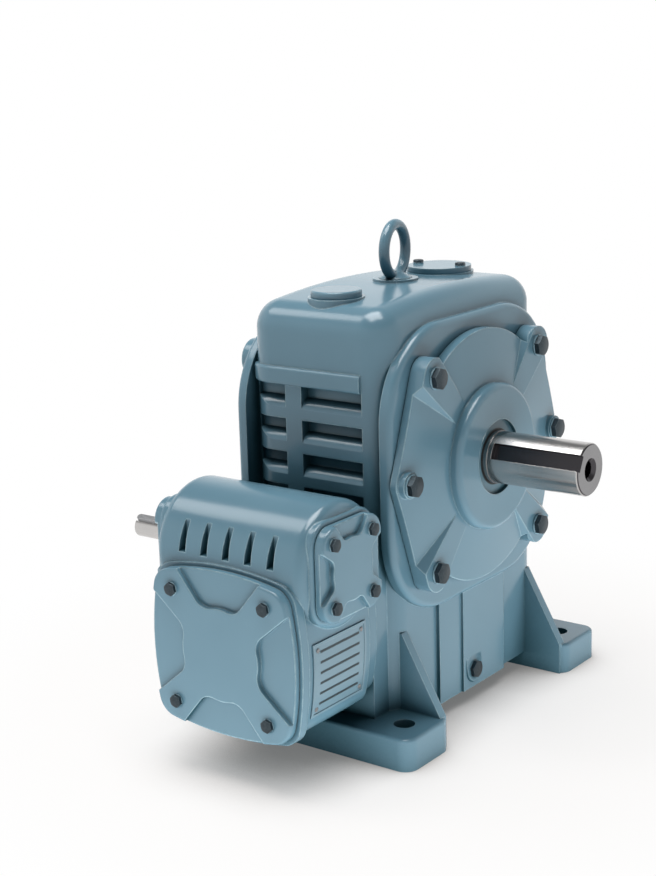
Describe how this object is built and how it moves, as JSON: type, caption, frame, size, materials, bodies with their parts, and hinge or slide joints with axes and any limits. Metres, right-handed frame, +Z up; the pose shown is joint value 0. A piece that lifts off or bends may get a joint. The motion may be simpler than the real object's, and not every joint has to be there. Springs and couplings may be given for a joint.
{
  "type": "double worm gear reducer",
  "caption": "Foot-mounted double worm gear reducer: a finned casing with a keyed output shaft, a smaller worm box bolted to its front with a side input shaft, and a lifting eye on top.",
  "frame": {"origin": "centre of the foot bolt pattern on the base plane", "axes": "+Z up, +X along the output shaft towards its free end, -Y towards the first-stage box, metres"},
  "size_m": [0.331, 0.4194, 0.429],
  "materials": {
    "casing_enamel": "glossy blue-grey enamel on cast iron",
    "eyebolt_enamel": "glossy blue-grey enamel on forged steel",
    "shaft_steel": "ground and polished shaft steel",
    "bolt_steel": "dark oxide steel",
    "bearing_steel": "ground bearing steel",
    "key_steel": "drawn key steel",
    "gear_bronze": "cut tin bronze",
    "wheel_iron": "machined grey cast iron",
    "seal_rubber": "black nitrile rubber",
    "gasket_sheet": "pressed fibre sheet"
  },
  "bodies": {
    "casing": {"main_housing": "casing_enamel", "first_stage_housing": "casing_enamel", "output_cover": "casing_enamel", "blind_cover": "casing_enamel", "worm_rear_cover": "casing_enamel", "first_stage_front_cover": "casing_enamel", "tail_bearing_cover": "casing_enamel", "input_cover": "casing_enamel", "inspection_cover": "casing_enamel", "breather_cap": "casing_enamel", "output_cover_bolts": "bolt_steel", "blind_cover_bolts": "bolt_steel", "worm_rear_cover_bolts": "bolt_steel", "stage_joint_bolts": "bolt_steel", "front_cover_bolts": "bolt_steel", "tail_cover_bolts": "bolt_steel", "input_cover_bolts": "bolt_steel", "inspection_cover_screws": "bolt_steel", "drain_plug": "bolt_steel", "output_cover_gasket": "gasket_sheet", "blind_cover_gasket": "gasket_sheet", "worm_rear_cover_gasket": "gasket_sheet", "stage_joint_gasket": "gasket_sheet", "front_cover_gasket": "gasket_sheet", "tail_cover_shim": "gasket_sheet", "input_cover_shim": "gasket_sheet", "output_seal": "seal_rubber", "interstage_seal": "seal_rubber", "input_seal": "seal_rubber", "output_bearing_outer_ring": "bearing_steel", "blind_bearing_outer_ring": "bearing_steel", "worm_front_bearing_outer_ring": "bearing_steel", "worm_nose_bearing_outer_ring": "bearing_steel", "worm_rear_bearing_outer_ring": "bearing_steel", "tail_bearing_outer_ring": "bearing_steel", "input_bearing_outer_ring": "bearing_steel", "lifting_eyebolt": "eyebolt_enamel"},
    "output": {"output_shaft": "shaft_steel", "output_wheel_centre": "wheel_iron", "output_wheel_rim": "gear_bronze", "output_wheel_key": "key_steel", "output_spacer": "shaft_steel", "output_bearing_inner_ring": "bearing_steel", "blind_bearing_inner_ring": "bearing_steel", "output_shaft_rollers": "bearing_steel"},
    "worm": {"second_stage_worm": "shaft_steel", "first_wheel_centre": "wheel_iron", "first_wheel_rim": "gear_bronze", "first_wheel_key": "key_steel", "first_wheel_locknut": "key_steel", "worm_front_bearing_inner_ring": "bearing_steel", "worm_nose_bearing_inner_ring": "bearing_steel", "worm_rear_bearing_inner_ring": "bearing_steel", "worm_shaft_rollers": "bearing_steel"},
    "input": {"input_worm": "shaft_steel", "tail_bearing_inner_ring": "bearing_steel", "input_bearing_inner_ring": "bearing_steel", "input_shaft_rollers": "bearing_steel"}
  },
  "joints": [
    {"name": "output_spin", "type": "hinge", "parent": "casing", "child": "output", "pos_m": [0, 0, 0.23], "axis": [1, 0, 0], "continuous": true},
    {"name": "worm_spin", "type": "hinge", "parent": "casing", "child": "worm", "pos_m": [0, 0, 0.11], "axis": [0, -1, 0], "continuous": true},
    {"name": "input_spin", "type": "hinge", "parent": "casing", "child": "input", "pos_m": [0, -0.191, 0.18], "axis": [1, 0, 0], "continuous": true}
  ],
  "couplings": [
    {"joint": "worm_spin", "follows": "output_spin", "ratio": 19},
    {"joint": "input_spin", "follows": "output_spin", "ratio": 190}
  ]
}
